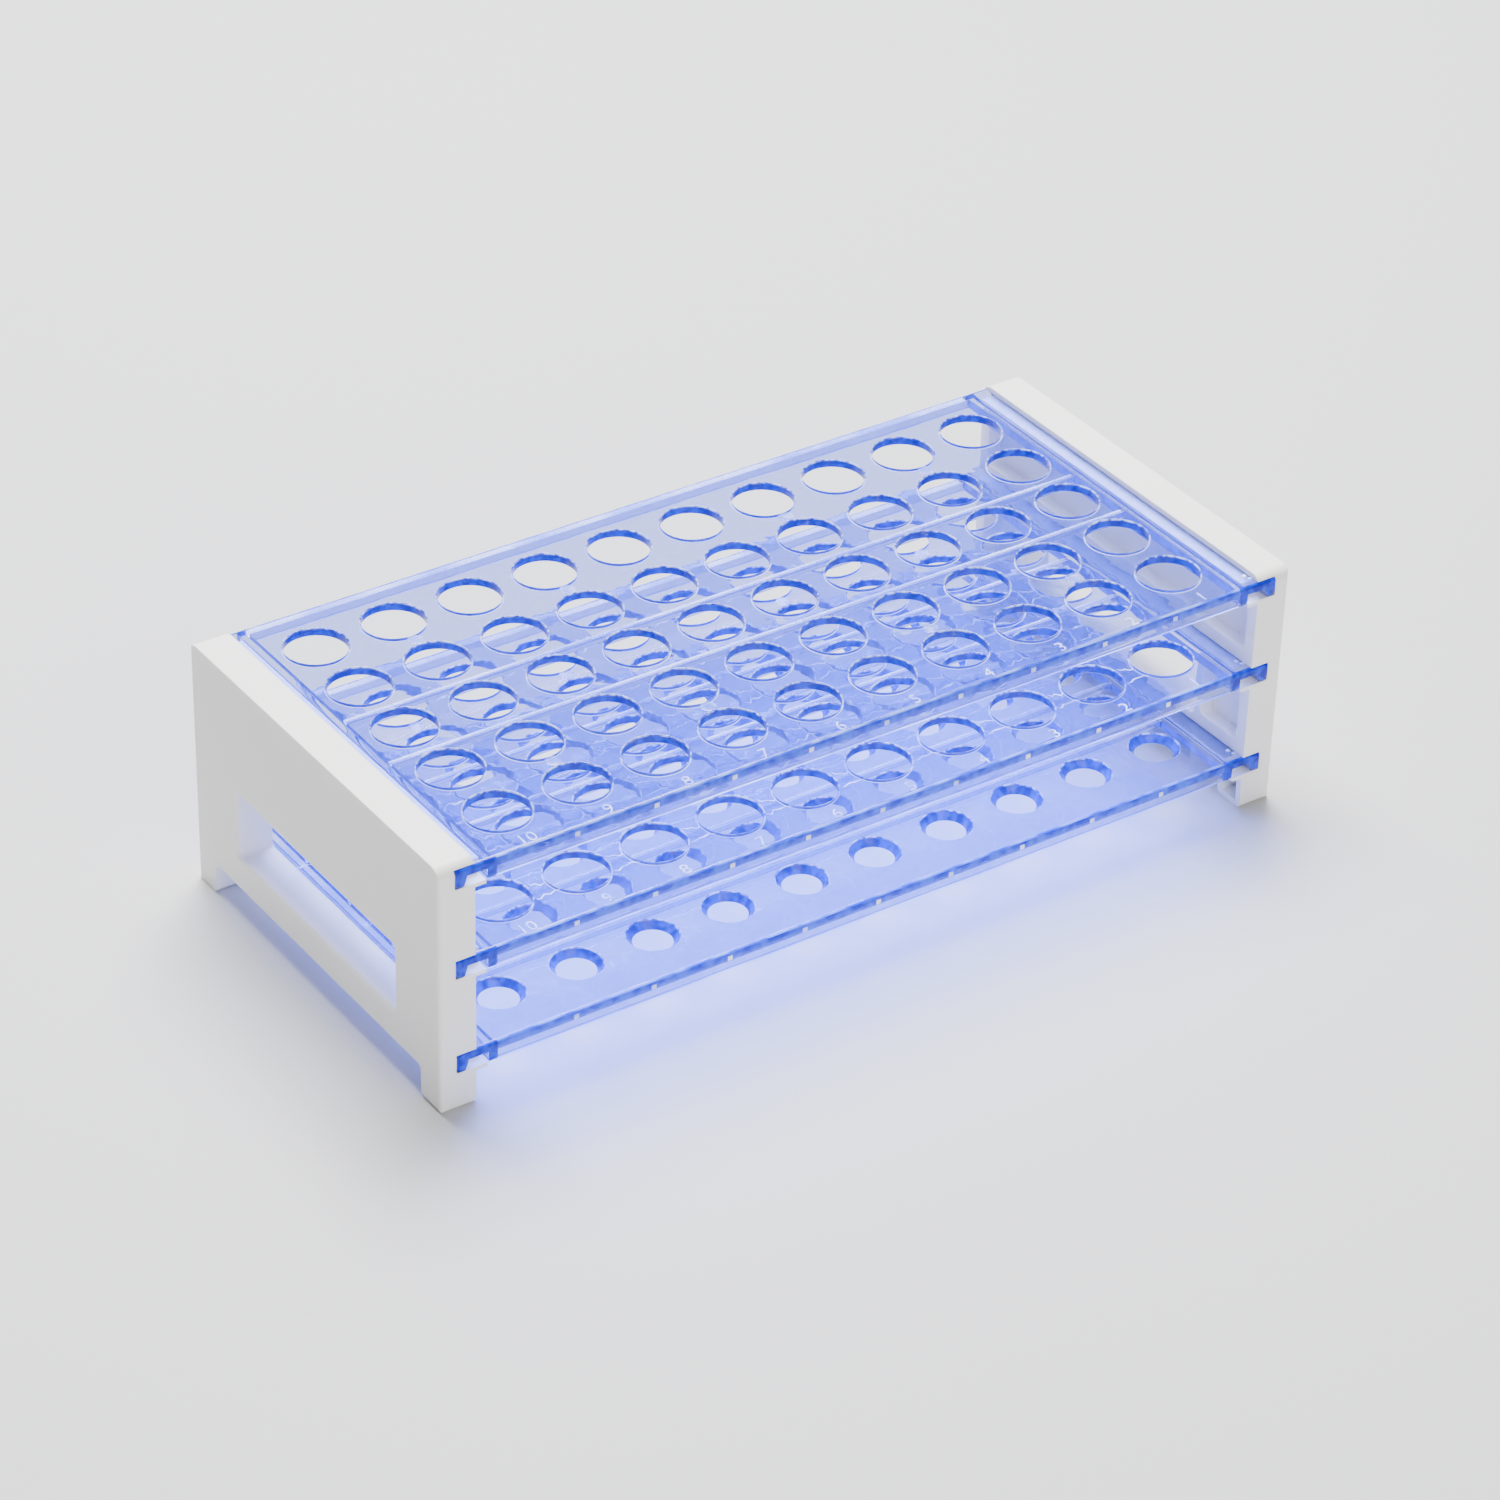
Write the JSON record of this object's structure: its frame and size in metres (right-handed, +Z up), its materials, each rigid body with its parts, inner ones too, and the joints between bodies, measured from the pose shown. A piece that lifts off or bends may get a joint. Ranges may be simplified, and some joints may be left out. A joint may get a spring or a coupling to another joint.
{
  "type": "test tube rack",
  "caption": "Free-standing rack: two end panels with handle windows carry three flat trays, two with guide holes and one with seats, that hold tubes upright.",
  "frame": {"origin": "on the surface that the rack stands on, under the middle of the rack", "axes": "+X along the rack's length, +Y from its front to its back, +Z up"},
  "size_m": [0.215, 0.1, 0.06],
  "materials": {
    "panel": "white injection-moulded polypropylene, satin",
    "tray": "clear blue injection-moulded polystyrene, polished"
  },
  "bodies": {
    "root": {"end_panel_left": "panel", "end_panel_right": "panel", "tray_top": "tray", "tray_middle": "tray", "tray_bottom": "tray"}
  },
  "joints": []
}
